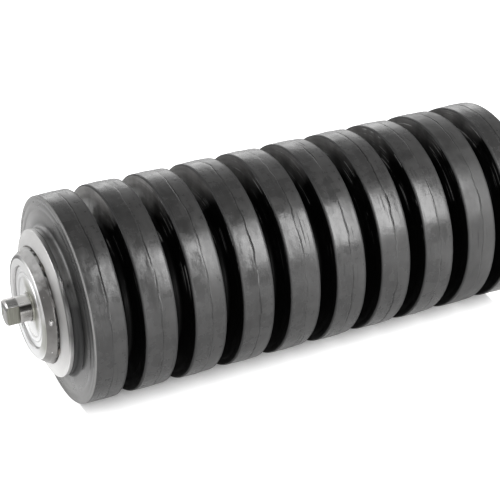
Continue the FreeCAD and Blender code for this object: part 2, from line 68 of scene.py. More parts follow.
# Sizes in metres, taken from the frame where a node's box gives them
ENDS = (("left", -1), ("right", 1))
DISC_NAMES = sorted(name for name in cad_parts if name.startswith("disc_"))
DISC_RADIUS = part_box(DISC_NAMES[0])[1][2]
DISC_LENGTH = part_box(DISC_NAMES[0])[1][1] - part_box(DISC_NAMES[0])[0][1]
DULL_PLACE = middle_of("disc_09")
RIM_WIDTH = 25.0 * MM
RIM_DRAFT = 0.35 * MM
EDGE_ROUNDING = 1.0 * MM
ROOT_ROUNDING = 3.0 * MM
SIDE_DRAFT = 0.5 * MM
HUB_RADIUS = 55.55 * MM
OUTER_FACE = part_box(DISC_NAMES[-1])[1][1] - (DISC_LENGTH - RIM_WIDTH) / 2
TUBE_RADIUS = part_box("tube")[1][2]
TUBE_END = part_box("tube")[1][1]
RING_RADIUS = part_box("retaining_ring_right")[1][2]
RING_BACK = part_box("retaining_ring_right")[0][1]
RING_EDGE = 3.2 * MM
NOSE_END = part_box("bearing_housing_right")[1][1]
NOSE_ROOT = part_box("bearing_housing_right")[1][2]
LIP_RADIUS = NOSE_ROOT - 5.0 * MM
MOUTH_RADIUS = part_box("dust_cover_right")[1][2]
SHAFT_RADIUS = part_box("shaft")[1][2]
SHAFT_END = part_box("shaft")[1][1]
FLAT_HALF = 7.0 * MM
FLAT_LENGTH = 9.0 * MM
FLAT_START = SHAFT_END - FLAT_LENGTH
COVER_HOLE = SHAFT_RADIUS + 0.35 * MM
BEAD_RADIUS = (COVER_HOLE + MOUTH_RADIUS) / 2 + 3.6 * MM
BEAD_HALF = 1.8 * MM

# Marks and roundings of an outline's corners
PLAIN = 0.0
MARKED = 1.0
SHARP = 0.0
BROKEN_EDGE = 0.2 * MM
FINE_EDGE = 0.3 * MM
SOFT_EDGE = 0.5 * MM
PRESSED_EDGE = 0.6 * MM
CAST_EDGE = 1.5 * MM


# Node trees

class Graph:
    """Short ways to add and link the nodes of one tree."""

    def __init__(self, tree):
        self.tree = tree

    def add(self, kind, inputs=None, **settings):
        """A new node with its settings made and its inputs fed."""
        node = self.tree.nodes.new(kind)
        for name, value in settings.items():
            setattr(node, name, value)
        for key, value in (inputs or {}).items():
            self.feed(node.inputs[key], value)
        return node

    def made(self, kind, inputs=None, **settings):
        """The first output of a new node."""
        return self.add(kind, inputs, **settings).outputs[0]

    def feed(self, socket, value):
        """Links a socket to another node's output, or sets it to a plain value."""
        if isinstance(value, bpy.types.NodeSocket):
            self.tree.links.new(value, socket)
        else:
            socket.default_value = value

    def math(self, operation, *values):
        return self.made("ShaderNodeMath", dict(enumerate(values)), operation=operation)

    def product(self, first, *others):
        """Values multiplied together."""
        for other in others:
            first = self.math("MULTIPLY", first, other)
        return first

    def apart(self, value, place):
        """How far a value lies from a place."""
        return self.math("ABSOLUTE", self.math("SUBTRACT", value, place))

    def swayed(self, value, noise, reach):
        """A value moved to and fro by noise that lies around one half."""
        return self.math("MULTIPLY_ADD", self.math("SUBTRACT", noise, 0.5), reach, value)

    def vector(self, x, y, z):
        return self.made("ShaderNodeCombineXYZ", {0: x, 1: y, 2: z})

    def parts(self, vector):
        return self.add("ShaderNodeSeparateXYZ", {0: vector}).outputs

    def place(self):
        """Where a point of a material lies: X across, Y along the axis and Z up."""
        return self.parts(self.add("ShaderNodeTexCoord").outputs["Object"])

    def noise(self, vector, scale, detail=2.0, roughness=0.5):
        inputs = {"Vector": vector, "Scale": scale, "Detail": detail, "Roughness": roughness}
        return self.made("ShaderNodeTexNoise", inputs)

    def span(self, value, low, high, to_low=0.0, to_high=1.0):
        """A value moved from one range to another and held inside it."""
        inputs = {0: value, 1: low, 2: high, 3: to_low, 4: to_high}
        return self.made("ShaderNodeMapRange", inputs)

    def blend(self, share, first, second):
        """A number between two numbers."""
        return self.made("ShaderNodeMix", {0: share, 2: first, 3: second})

    def colour(self, share, first, second):
        """A colour between two colours."""
        return self.add("ShaderNodeMix", {0: share, 6: first, 7: second}, data_type="RGBA").outputs[2]

    def stored(self, label):
        """A number that the mesh of a geometry tree carries on its points."""
        return self.made("GeometryNodeInputNamedAttribute", {0: label}, data_type="FLOAT")

    def store(self, geometry, label, value):
        """A mesh that carries one more number on its points."""
        inputs = {0: geometry, 2: label, 3: value}
        return self.made("GeometryNodeStoreNamedAttribute", inputs)

    def painted(self, geometry, material, chosen=True):
        """A mesh whose chosen faces have a material."""
        return self.made("GeometryNodeSetMaterial", {0: geometry, 1: chosen, 2: material})


def geometry_tree(name, *inputs):
    """A geometry node tree with named inputs, its graph, its input sockets and its last node."""
    tree = bpy.data.node_groups.new(name, "GeometryNodeTree")
    tree.interface.new_socket("Geometry", in_out="INPUT", socket_type="NodeSocketGeometry")
    tree.interface.new_socket("Geometry", in_out="OUTPUT", socket_type="NodeSocketGeometry")
    for label, kind in inputs:
        tree.interface.new_socket(label, in_out="INPUT", socket_type=f"NodeSocket{kind}")
    graph = Graph(tree)
    return tree, graph, graph.add("NodeGroupInput").outputs, graph.add("NodeGroupOutput").inputs


def turned_tree():
    """Turns an outline, drawn as radius along X and place along Y, once round the Y axis."""
    path_radius = 1.0
    seam = 0.001 * MM
    tree, graph, given, result = geometry_tree("turned_piece", ("Steps", "Int"), ("Material", "Material"))
    outline = graph.made("GeometryNodeMeshToCurve", {0: given["Geometry"]})
    shifted = graph.made("GeometryNodeTransform", {0: outline, 1: (-path_radius, 0, 0)})
    path = graph.made("GeometryNodeCurvePrimitiveCircle", {0: given["Steps"], 4: path_radius})
    swept = graph.made("GeometryNodeCurveToMesh", {0: path, 1: shifted})
    upright = graph.made("GeometryNodeTransform", {0: swept, 2: (math.pi / 2, 0, 0)})
    joined = graph.made("GeometryNodeMergeByDistance", {0: upright, 2: seam})
    smooth = graph.made("GeometryNodeSetShadeSmooth", {0: joined})
    whole = graph.made("GeometryNodeRealizeInstances", {0: smooth})
    graph.feed(result[0], graph.painted(whole, given["Material"]))
    return tree


def turned_inside(graph, turned, given):
    """A turned piece inside another tree, fed by the inputs that the two trees share."""
    piece = graph.add("GeometryNodeGroup", node_tree=turned)
    for label in ("Geometry", "Steps", "Material"):
        graph.feed(piece.inputs[label], given[label])
    return piece.outputs[0]


def disc_tree(turned):
    """A turned disc whose running face wanders.

    The mould's parting line sways, comes and goes, and the mould's two halves don't quite meet on it.
    """
    tree, graph, given, result = geometry_tree(
        "moulded_disc", ("Steps", "Int"), ("Middle", "Float"), ("Wander", "Float"),
        ("Line Wander", "Float"), ("Line Width", "Float"), ("Line Depth", "Float"),
        ("Near Step", "Float"), ("Far Step", "Float"), ("Seed", "Float"), ("Stack End", "Float"),
        ("Dust", "Float"), ("Material", "Material"), ("Side Material", "Material"),
        ("Gap Material", "Material"))
    busier_along = 2.5
    wave_floor = 0.3
    on_face = 0.9
    disc = turned_inside(graph, turned, given)
    x, y, z = graph.parts(graph.made("GeometryNodeInputPosition"))
    rim = graph.stored("mark")

    stretched = graph.product(graph.math("ADD", y, given["Seed"]), busier_along)
    wave = graph.noise(graph.vector(x, stretched, z), scale=46.0)
    sway = graph.noise(graph.vector(x, given["Seed"], z), scale=60.0, detail=3.0)
    patchy = graph.noise(graph.vector(z, given["Seed"], x), scale=34.0)

    along = graph.math("SUBTRACT", y, given["Middle"])
    line_shift = graph.product(graph.math("SUBTRACT", sway, 0.5), given["Line Wander"])
    from_line = graph.math("SUBTRACT", along, line_shift)
    width = graph.product(given["Line Width"], graph.span(patchy, 0.3, 0.7, 0.6, 1.5))
    share = graph.math("DIVIDE", graph.math("ABSOLUTE", from_line), width)
    strength = graph.span(patchy, 0.4, 0.6, 0.3, 1.0)
    groove = graph.product(graph.span(share, 0.0, 1.0, 1.0, 0.0), strength)
    past_line = graph.math("GREATER_THAN", from_line, 0.0)

    sunk = graph.product(groove, given["Line Depth"])
    waves = graph.math("MAXIMUM", graph.math("SUBTRACT", wave, wave_floor), 0.0)
    uneven = graph.product(waves, given["Wander"])
    step = graph.blend(past_line, given["Near Step"], given["Far Step"])
    depth = graph.math("ADD", graph.math("ADD", sunk, uneven), step)
    inward = graph.product(depth, rim, -1.0)
    across = graph.vector(x, 0.0, z)
    outward = graph.made("ShaderNodeVectorMath", {0: across}, operation="NORMALIZE")
    offset = graph.made("ShaderNodeVectorMath", {0: outward, 3: inward}, operation="SCALE")

    marked = graph.store(disc, "line", graph.product(groove, rim))
    marked = graph.store(marked, "far_half", past_line)
    # The dust number also sets how much painted light the faces between the discs get.
    marked = graph.store(marked, "dust", given["Dust"])
    moved = graph.made("GeometryNodeSetPosition", {0: marked, 3: offset})
    whole = graph.made("GeometryNodeRealizeInstances", {0: moved})
    # Faces between the discs take the gap material, blacker rubber as painted shade.
    beside = graph.math("LESS_THAN", rim, on_face)
    within = graph.math("LESS_THAN", graph.math("ABSOLUTE", y), given["Stack End"])
    hidden = graph.product(beside, within)
    sides = graph.painted(whole, given["Side Material"], beside)
    graph.feed(result[0], graph.painted(sides, given["Gap Material"], hidden))
    return tree


def bar_tree(turned):
    """A turned bar with two flats milled at the ends that its outline marks."""
    sharp_angle = math.radians(30)
    on_end = 0.5
    tree, graph, given, result = geometry_tree(
        "milled_bar", ("Steps", "Int"), ("Flat Half", "Float"), ("Material", "Material"))
    bar = turned_inside(graph, turned, given)
    x, y, z = graph.parts(graph.made("GeometryNodeInputPosition"))
    end = graph.stored("mark")
    outside = graph.math("GREATER_THAN", graph.math("ABSOLUTE", x), given["Flat Half"])
    flat = graph.product(outside, graph.math("GREATER_THAN", end, on_end))
    level = graph.product(graph.math("SIGN", x), given["Flat Half"])
    marked = graph.store(bar, "flat", flat)
    milled = graph.vector(graph.blend(flat, x, level), y, z)
    moved = graph.made("GeometryNodeSetPosition", {0: marked, 2: milled})
    bend = graph.made("GeometryNodeInputMeshEdgeAngle")
    steep = graph.math("GREATER_THAN", bend, sharp_angle)
    crisp = graph.made("GeometryNodeSetShadeSmooth", {0: moved, 1: steep, 2: False}, domain="EDGE")
    whole = graph.made("GeometryNodeRealizeInstances", {0: crisp})
    graph.feed(result[0], graph.painted(whole, given["Material"]))
    return tree


def droplet_tree():
    """A flattened drop of metal on each point of a mesh, as large as the point says."""
    tree, graph, given, result = geometry_tree(
        "metal_droplets", ("Across", "Float"), ("Along", "Float"), ("Outward", "Float"),
        ("Material", "Material"))
    drop = graph.made("GeometryNodeMeshIcoSphere", {"Radius": 1.0, "Subdivisions": 3})
    place = graph.parts(graph.made("GeometryNodeInputPosition"))
    outward = graph.vector(place["X"], 0.0, place["Z"])
    turn = graph.made("FunctionNodeAlignRotationToVector", {"Vector": outward}, axis="X", pivot_axis="Y")
    size = graph.stored("size")
    shape = graph.vector(*(graph.product(given[label], size) for label in ("Outward", "Along", "Across")))
    points = graph.made("GeometryNodeMeshToPoints", {0: given["Geometry"]})
    inputs = {"Points": points, "Instance": drop, "Scale": shape, "Rotation": turn}
    placed = graph.made("GeometryNodeInstanceOnPoints", inputs)
    whole = graph.made("GeometryNodeRealizeInstances", {0: placed})
    smooth = graph.made("GeometryNodeSetShadeSmooth", {0: whole})
    graph.feed(result[0], graph.painted(smooth, given["Material"]))
    return tree


# Outlines and pieces

def rounded_outline(corners, arc_steps=6):
    """Points of an outline from corners (along, radius, rounding, mark), with arcs at rounded corners.

    Each point comes with 1 where it lies on an arc, and with its corner's mark. What is marked is a disc's
    running face, a housing's machined lip and a bar's milled ends.
    """
    points = []
    count = len(corners)
    for index, (along, radius, rounding, mark) in enumerate(corners):
        here = Vector((radius, along))
        if rounding == SHARP:
            points.append((here, 0.0, mark))
            continue
        before = Vector((corners[index - 1][1], corners[index - 1][0]))
        after = Vector((corners[(index + 1) % count][1], corners[(index + 1) % count][0]))
        first = (before - here).normalized()
        second = (after - here).normalized()
        half = first.angle(second) / 2
        reach = rounding / math.tan(half)
        centre = here + (first + second).normalized() * rounding / math.sin(half)
        start = here + first * reach - centre
        sweep = start.angle_signed(here + second * reach - centre)
        for step in range(arc_steps + 1):
            turn = Matrix.Rotation(-sweep * step / arc_steps, 2)
            points.append((centre + turn @ start, 1.0, mark))
    return points


def linked_object(name, data):
    """A new object in the scene."""
    made = bpy.data.objects.new(name, data)
    bpy.context.scene.collection.objects.link(made)
    return made


def point_object(name, places, edges, **numbers):
    """An object of points and edges, with numbers carried on the points."""
    mesh = bpy.data.meshes.new(name)
    mesh.from_pydata(places, edges, [])
    for label, values in numbers.items():
        mesh.attributes.new(label, "FLOAT", "POINT").data.foreach_set("value", values)
    return linked_object(name, mesh)


def outline_object(name, points, closed=True):
    """An object holding an outline's points and edges, with its arcs and marks."""
    count = len(points)
    places, arcs, marks = zip(*points)
    flat_places = [(place.x, place.y, 0.0) for place in places]
    edges = [(index, (index + 1) % count) for index in range(count if closed else count - 1)]
    return point_object(name, flat_places, edges, edge=list(arcs), mark=list(marks))


def grown(source, tree, **values):
    """The plain mesh object that a geometry node tree makes from a source object."""
    modifier = source.modifiers.new("grow", "NODES")
    modifier.node_group = tree
    names = {item.name: item.identifier for item in tree.interface.items_tree if item.in_out == "INPUT"}
    for label, value in values.items():
        modifier[names[label.replace("_", " ")]] = value
    view = bpy.context.evaluated_depsgraph_get()
    mesh = bpy.data.meshes.new_from_object(source.evaluated_get(view))
    source.modifiers.remove(modifier)
    shape = bmesh.new()
    shape.from_mesh(mesh)
    bmesh.ops.recalc_face_normals(shape, faces=shape.faces)
    shape.to_mesh(mesh)
    shape.free()
    source.data = mesh
    return source


def hand_over(piece, body, slot, *nodes):
    """Sets a finished piece on its body and hides the nodes that it stands for; its slot is not used."""
    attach(piece, body)
    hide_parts(*nodes)


# Shader groups

def shader_group(name, inputs, outputs):
    """A shader node group with float inputs and outputs."""
    tree = bpy.data.node_groups.new(name, "ShaderNodeTree")
    for label, value in inputs:
        socket = tree.interface.new_socket(label, in_out="INPUT", socket_type="NodeSocketFloat")
        socket.default_value = value
    for label in outputs:
        tree.interface.new_socket(label, in_out="OUTPUT", socket_type="NodeSocketFloat")
    graph = Graph(tree)
    return tree, graph, graph.add("NodeGroupInput").outputs, graph.add("NodeGroupOutput").inputs


def streak_group():
    """Noise drawn out along or round the roller's axis."""
    tree, graph, given, result = shader_group(
        "streaks", [("Round Scale", 40.0), ("Along Scale", 400.0), ("Detail", 4.0), ("Shift", 0.0)],
        ["Mask"])
    x, y, z = graph.place()
    place = graph.vector(graph.math("MULTIPLY_ADD", x, given["Round Scale"], given["Shift"]),
                         graph.product(y, given["Along Scale"]),
                         graph.product(z, given["Round Scale"]))
    graph.feed(result["Mask"], graph.noise(place, scale=1.0, detail=given["Detail"], roughness=0.6))
    return tree


def lathe_group():
    """Fine rings left by turning, which follow the radius and the axis, and that radius itself."""
    change_round = 14.0
    tree, graph, given, result = shader_group(
        "lathe_marks", [("Pitch", 900.0), ("Shift", 0.0)], ["Mask", "Radius"])
    x, y, z = graph.place()
    radius = graph.math("SQRT", graph.math("ADD", graph.product(x, x), graph.product(z, z)))
    place = graph.vector(graph.math("MULTIPLY_ADD", radius, given["Pitch"], given["Shift"]),
                         graph.product(y, given["Pitch"]),
                         graph.product(x, change_round))
    graph.feed(result["Mask"], graph.noise(place, scale=1.0, detail=3.0, roughness=0.6))
    graph.feed(result["Radius"], radius)
    return tree


def cloud_group():
    """Soft stains and a fine grain, even in all directions."""
    tree, graph, given, result = shader_group(
        "clouds", [("Stain Scale", 30.0), ("Grain Scale", 900.0), ("Shift", 0.0)], ["Stain", "Grain"])
    x, y, z = graph.place()
    place = graph.vector(graph.math("ADD", x, given["Shift"]), y, z)
    graph.feed(result["Stain"], graph.noise(place, given["Stain Scale"], detail=4.0, roughness=0.55))
    graph.feed(result["Grain"], graph.noise(place, given["Grain Scale"]))
    return tree


def speck_group():
    """Sparse small specks of lint and dust."""
    tree, graph, given, result = shader_group(
        "specks", [("Scale", 120.0), ("Size", 0.05), ("Share", 0.1)], ["Mask"])
    place = graph.add("ShaderNodeTexCoord").outputs["Object"]
    cells = graph.add("ShaderNodeTexVoronoi", {"Vector": place, "Scale": given["Scale"]})
    chance = graph.parts(cells.outputs["Color"])[0]
    chosen = graph.math("LESS_THAN", chance, given["Share"])
    near = graph.math("LESS_THAN", cells.outputs["Distance"], given["Size"])
    graph.feed(result["Mask"], graph.product(chosen, near))
    return tree


STREAKS = streak_group()
LATHE = lathe_group()
CLOUDS = cloud_group()
SPECKS = speck_group()

# Finishes, in which a height or a place across the roller is in metres from its axis
NOISE_SPREAD = (0.35, 0.65)
WIDE_SPREAD = (0.3, 0.7)


class Finish(Graph):
    """A material under one Principled shader."""

    def __init__(self, name, metallic):
        self.material = bpy.data.materials.new(name)
        self.material.use_nodes = True
        super().__init__(self.material.node_tree)
        self.shader = self.tree.nodes["Principled BSDF"]
        self.shader.inputs["Metallic"].default_value = metallic

    def group(self, tree, **values):
        """The outputs of a shader group, placed with its own values."""
        node = self.add("ShaderNodeGroup", node_tree=tree)
        for label, value in values.items():
            self.feed(node.inputs[label.replace("_", " ")], value)
        return node.outputs

    def stored(self, label):
        """A number that the finished mesh carries."""
        return self.add("ShaderNodeAttribute", attribute_name=label).outputs["Fac"]

    def lean(self, place, x_share, z_share):
        """How far a place lies in a slanting direction across the axis."""
        return self.math("MULTIPLY_ADD", place["X"], x_share, self.product(place["Z"], z_share))

    def set(self, label, value):
        self.feed(self.shader.inputs[label], value)

    def bump(self, height, strength, distance):
        inputs = {"Height": height, "Strength": strength, "Distance": distance}
        self.set("Normal", self.made("ShaderNodeBump", inputs))

    def relief(self, *layers):
        """Bumps made of several masks, each with its height in millimetres."""
        height = 0.0
        for mask, millimetres in layers:
            height = self.math("MULTIPLY_ADD", mask, millimetres, height)
        self.bump(height, 1.0, MM)


def grey(level, warm=0.0):
    """A grey with a little warmth or, below zero, coolness."""
    return (level * (1 + warm), level, level * (1 - warm), 1.0)


def rubber_finish():
    """Running faces: dark grey rubber, cloudy with handling, streaked, scuffed and specked with lint.

    The mould's line is darkened in its crease as painted shade, the rounded edges are darker and rougher,
    the stack's outermost edges are pale as wear and a painted highlight, and one disc is duller.
    """
    finish = Finish("disc_rubber", 0.0)
    along = finish.place()["Y"]
    edge = finish.stored("edge")
    streaks = finish.group(STREAKS, Round_Scale=40.0, Along_Scale=170.0, Detail=3.0)["Mask"]
    smears = finish.group(STREAKS, Round_Scale=150.0, Along_Scale=45.0, Detail=3.0, Shift=3.0)["Mask"]
    clouds = finish.group(CLOUDS, Stain_Scale=85.0, Grain_Scale=1400.0)
    specks = finish.group(SPECKS, Scale=70.0, Size=0.04, Share=0.04)["Mask"]
    threads = finish.group(STREAKS, Round_Scale=26.0, Along_Scale=800.0, Detail=1.0, Shift=8.0)["Mask"]
    patches = finish.group(CLOUDS, Stain_Scale=45.0, Grain_Scale=1400.0, Shift=3.3)["Stain"]

    handled = finish.blend(0.5, finish.blend(0.5, streaks, smears), clouds["Stain"])
    handled = finish.swayed(handled, finish.stored("far_half"), 0.05)
    running = finish.colour(finish.span(handled, 0.38, 0.62), grey(0.031, 0.01), grey(0.051, 0.01))
    scuffs = finish.product(finish.span(threads, 0.64, 0.72), finish.span(patches, 0.48, 0.58))
    scuffed = finish.colour(finish.product(scuffs, 0.7), running, grey(0.012))
    # Rounded edges are darker and rougher; on the stack's outermost edges they are pale, partly wear and
    # partly a painted highlight.
    from_middle = finish.math("ABSOLUTE", along)
    outermost = finish.span(from_middle, OUTER_FACE - 1.4 * MM, OUTER_FACE - 0.7 * MM)
    rounded = finish.colour(edge, scuffed, finish.colour(outermost, grey(0.02), grey(0.24, 0.01)))
    # Painted shade darkens the parting line's crease.
    crease_shaded = finish.colour(finish.product(finish.stored("line"), 0.85), rounded, grey(0.006))
    finish.set("Base Color", finish.colour(specks, crease_shaded, grey(0.6)))

    polish = finish.math("MULTIPLY_ADD", scuffs, 0.3, finish.span(handled, 0.4, 0.6, 0.2, 0.36))
    dull = finish.span(finish.apart(along, DULL_PLACE), RIM_WIDTH / 2 + MM, RIM_WIDTH / 2)
    polish = finish.math("MULTIPLY_ADD", dull, 0.15, polish)
    finish.set("Roughness", finish.blend(edge, polish, 0.62))
    finish.relief((clouds["Stain"], 0.26), (streaks, 0.05), (smears, 0.08), (clouds["Grain"], 0.006))
    return finish.material


def side_finish():
    """Outer faces of the stack: black rubber under uneven dust that is partly painted light, with faint
    rings from the mould.

    The end hub has a painted highlight on top and painted shade, with some dirt, below.
    """
    finish = Finish("disc_side_rubber", 0.0)
    lathe = finish.group(LATHE, Pitch=420.0, Shift=7.0)
    radius = lathe["Radius"]
    clouds = finish.group(CLOUDS, Stain_Scale=60.0, Grain_Scale=1200.0, Shift=0.2)
    uneven = finish.blend(0.75, lathe["Mask"], clouds["Stain"])
    place = finish.place()

    # The dust is partly painted light: it grows towards the back and the bottom.
    drift = finish.swayed(finish.lean(place, -0.87, -0.5), clouds["Stain"], 60.0 * MM)
    dust_and_light_mask = finish.span(drift, -50.0 * MM, 20.0 * MM, 0.1, 1.0)
    past_hub = finish.span(radius, HUB_RADIUS + ROOT_ROUNDING, HUB_RADIUS + 3 * ROOT_ROUNDING)
    dust = finish.product(past_hub, dust_and_light_mask, finish.span(uneven, 0.36, 0.62, 0.6, 1.0))
    # Painted shade, with some dirt, blackens the end hub below; a painted highlight pales its top.
    hub = finish.span(radius, HUB_RADIUS + ROOT_ROUNDING, HUB_RADIUS + 0.4 * ROOT_ROUNDING)
    hub_shade_and_dirt = finish.product(hub, finish.span(place["Z"], 36.0 * MM, 22.0 * MM))
    hub_painted_highlight = finish.product(finish.math("SUBTRACT", hub, hub_shade_and_dirt), finish.span(uneven, 0.4, 0.6, 0.2, 1.0))
    black = finish.colour(hub_shade_and_dirt, grey(0.015), grey(0.004))
    black = finish.colour(hub_painted_highlight, black, grey(0.16, 0.01))
    finish.set("Base Color", finish.colour(dust, black, grey(0.19, 0.02)))
    finish.set("Roughness", finish.blend(hub_shade_and_dirt, finish.span(uneven, *NOISE_SPREAD, 0.24, 0.38), 0.62))
    finish.relief((lathe["Mask"], 0.005), (clouds["Stain"], 0.06), (clouds["Grain"], 0.008))
    return finish.material


def gap_finish():
    """Faces and hubs between the discs: rubber far blacker than the outer faces as painted shade, with pale
    rings high up as painted highlights.

    Dust lies on the upper back of the faces, partly as painted light, and a chalk-pale painted highlight
    lies near the hub, both most on the first discs.
    """
    finish = Finish("disc_gap_rubber", 0.0)
    lathe = finish.group(LATHE, Pitch=600.0, Shift=4.0)
    radius = lathe["Radius"]
    clouds = finish.group(CLOUDS, Stain_Scale=60.0, Grain_Scale=1200.0, Shift=0.6)
    place = finish.place()
    dust_and_light_amount = finish.stored("dust")

    # Painted shade: the faces between the discs are far blacker than the outer faces. Painted highlights:
    # pale rings high up.
    rings = finish.product(finish.span(lathe["Mask"], 0.58, 0.68), finish.span(clouds["Stain"], 0.47, 0.58))
    high_up = finish.span(finish.lean(place, 0.4, 0.92), 45.0 * MM, 60.0 * MM)
    black = finish.colour(finish.product(rings, high_up), grey(0.002), grey(0.5))
    # Dust on the upper back of the faces, partly painted light.
    drift = finish.swayed(finish.lean(place, -0.7, 0.7), clouds["Stain"], 30.0 * MM)
    dust_and_light_mask = finish.span(drift, 26.0 * MM, 60.0 * MM)
    past_hub = finish.span(radius, HUB_RADIUS, HUB_RADIUS + ROOT_ROUNDING)
    uneven = finish.product(dust_and_light_amount, finish.span(clouds["Stain"], 0.36, 0.6, 0.6, 1.0))
    dusty_with_painted_light = finish.colour(finish.product(past_hub, dust_and_light_mask, uneven), black, grey(0.3, 0.02))
    # A chalk-pale patch near the hub on the first discs is a painted highlight.
    near_hub = finish.span(radius, 70.0 * MM, 64.0 * MM)
    highlight_chalk_place = finish.product(finish.span(drift, 50.0 * MM, 58.0 * MM), near_hub)
    painted_highlight_chalk = finish.product(highlight_chalk_place, finish.span(dust_and_light_amount, 0.62, 0.9))
    finish.set("Base Color", finish.colour(painted_highlight_chalk, dusty_with_painted_light, grey(0.75)))
    finish.set("Roughness", finish.span(clouds["Stain"], *NOISE_SPREAD, 0.4, 0.55))
    finish.set("Specular IOR Level", 0.1)
    finish.relief((clouds["Stain"], 0.08), (clouds["Grain"], 0.01))
    return finish.material


def plate_finish():
    """Retaining rings and spatter: dull plated steel, paler above and below as painted light, darker across
    the middle as painted shade, and with a painted shadow along part of its rim.
    """
    finish = Finish("plated_steel", 1.0)
    lathe = finish.group(LATHE, Pitch=1500.0)
    clouds = finish.group(CLOUDS, Stain_Scale=55.0, Grain_Scale=1200.0, Shift=0.4)
    height = finish.place()["Z"]

    dull = finish.colour(finish.span(clouds["Stain"], *NOISE_SPREAD), grey(0.33, 0.02), grey(0.43, 0.015))
    # Painted light: paler below and above, darker across the middle.
    below = finish.span(height, 0.0, -30.0 * MM)
    dull = finish.colour(below, dull, grey(0.56, 0.015))
    dull = finish.colour(finish.product(finish.stored("edge"), 0.4), dull, grey(0.55))
    above = finish.span(height, 30.0 * MM, 44.0 * MM)
    dull = finish.colour(above, dull, grey(0.53, 0.01))
    middle = finish.span(finish.apart(height, 18.0 * MM), 24.0 * MM, 6.0 * MM)
    dull = finish.colour(middle, dull, grey(0.35, 0.015))
    # Painted shadow along part of the ring's rim.
    rim = finish.span(lathe["Radius"], RING_RADIUS - 1.8 * MM, RING_RADIUS - 0.8 * MM)
    rim = finish.product(rim, finish.span(height, -14.0 * MM, 4.0 * MM))
    rim = finish.product(rim, finish.span(height, 46.0 * MM, 30.0 * MM))
    finish.set("Base Color", finish.colour(rim, dull, grey(0.12, 0.01)))

    worn = finish.math("ADD", lathe["Mask"], clouds["Stain"])
    finish.set("Roughness", finish.span(worn, 0.7, 1.3, 0.3, 0.46))
    finish.bump(finish.math("ADD", lathe["Mask"], clouds["Grain"]), 0.18, 0.05 * MM)
    return finish.material


def casting_finish():
    """Dark housing, pale on top with dust and painted light, with painted shade along its root, and a
    bright machined lip.

    The lip is paler below as a painted reflection, with painted shade on its edge on one side and a painted
    shade patch on the other.
    """
    cast_metal = 0.8
    dust_metal = 0.1
    finish = Finish("cast_housing", cast_metal)
    lathe = finish.group(LATHE, Pitch=700.0, Shift=2.0)
    marks = lathe["Mask"]
    clouds = finish.group(CLOUDS, Stain_Scale=70.0, Grain_Scale=800.0, Shift=0.9)
    blotches = finish.group(CLOUDS, Stain_Scale=150.0, Grain_Scale=800.0, Shift=6.1)["Stain"]
    x, along, z = finish.place()

    stain = finish.span(clouds["Stain"], *NOISE_SPREAD)
    skin = finish.colour(stain, (0.148, 0.143, 0.138, 1), (0.212, 0.205, 0.2, 1))
    bright = finish.colour(finish.span(marks, *NOISE_SPREAD), grey(0.55, 0.01), grey(0.68))
    # Painted reflection: the lip is paler below.
    bright = finish.colour(finish.span(z, 0.0, -25.0 * MM), bright, grey(0.74))
    # Painted shade on the lip's edge on one side.
    lip_edge_shade = finish.span(lathe["Radius"], LIP_RADIUS - 2.3 * MM, LIP_RADIUS - 1.6 * MM)
    lip_edge_shade = finish.product(lip_edge_shade, finish.span(x, 4.0 * MM, -12.0 * MM))
    bright = finish.colour(lip_edge_shade, bright, grey(0.1, 0.01))
    # Painted shade patch on the lip's other side.
    side_shade_patch = finish.product(finish.span(z, 12.0 * MM, 4.0 * MM), finish.span(z, -30.0 * MM, -15.0 * MM))
    side_shade_patch = finish.product(side_shade_patch, finish.span(x, 12.0 * MM, 24.0 * MM, 0.0, 0.8))
    bright = finish.colour(side_shade_patch, bright, (0.27, 0.27, 0.235, 1))
    machined = finish.span(finish.stored("mark"), *WIDE_SPREAD)
    bare = finish.colour(machined, skin, bright)
    # Dust and painted light make the top pale.
    upper = finish.span(finish.swayed(z, blotches, 30.0 * MM), 27.0 * MM, 42.0 * MM)
    dust_and_light_mask = finish.product(upper, finish.math("SUBTRACT", 1.0, machined))
    dusty_with_painted_light = finish.colour(dust_and_light_mask, bare, grey(0.5, 0.01))
    # Painted shade along the root.
    past_root = finish.math("SUBTRACT", finish.math("ABSOLUTE", along), TUBE_END)
    crease_shaded = finish.product(finish.span(past_root, 2.2 * MM, 1.2 * MM), finish.span(blotches, 0.48, 0.56))
    finish.set("Base Color", finish.colour(crease_shaded, dusty_with_painted_light, grey(0.02, 0.01)))
    finish.set("Metallic", finish.blend(dust_and_light_mask, cast_metal, dust_metal))
    finish.set("Roughness", finish.blend(dust_and_light_mask, finish.span(marks, *WIDE_SPREAD, 0.32, 0.46), 0.6))
    finish.relief((marks, 0.012), (clouds["Grain"], 0.02))
    return finish.material


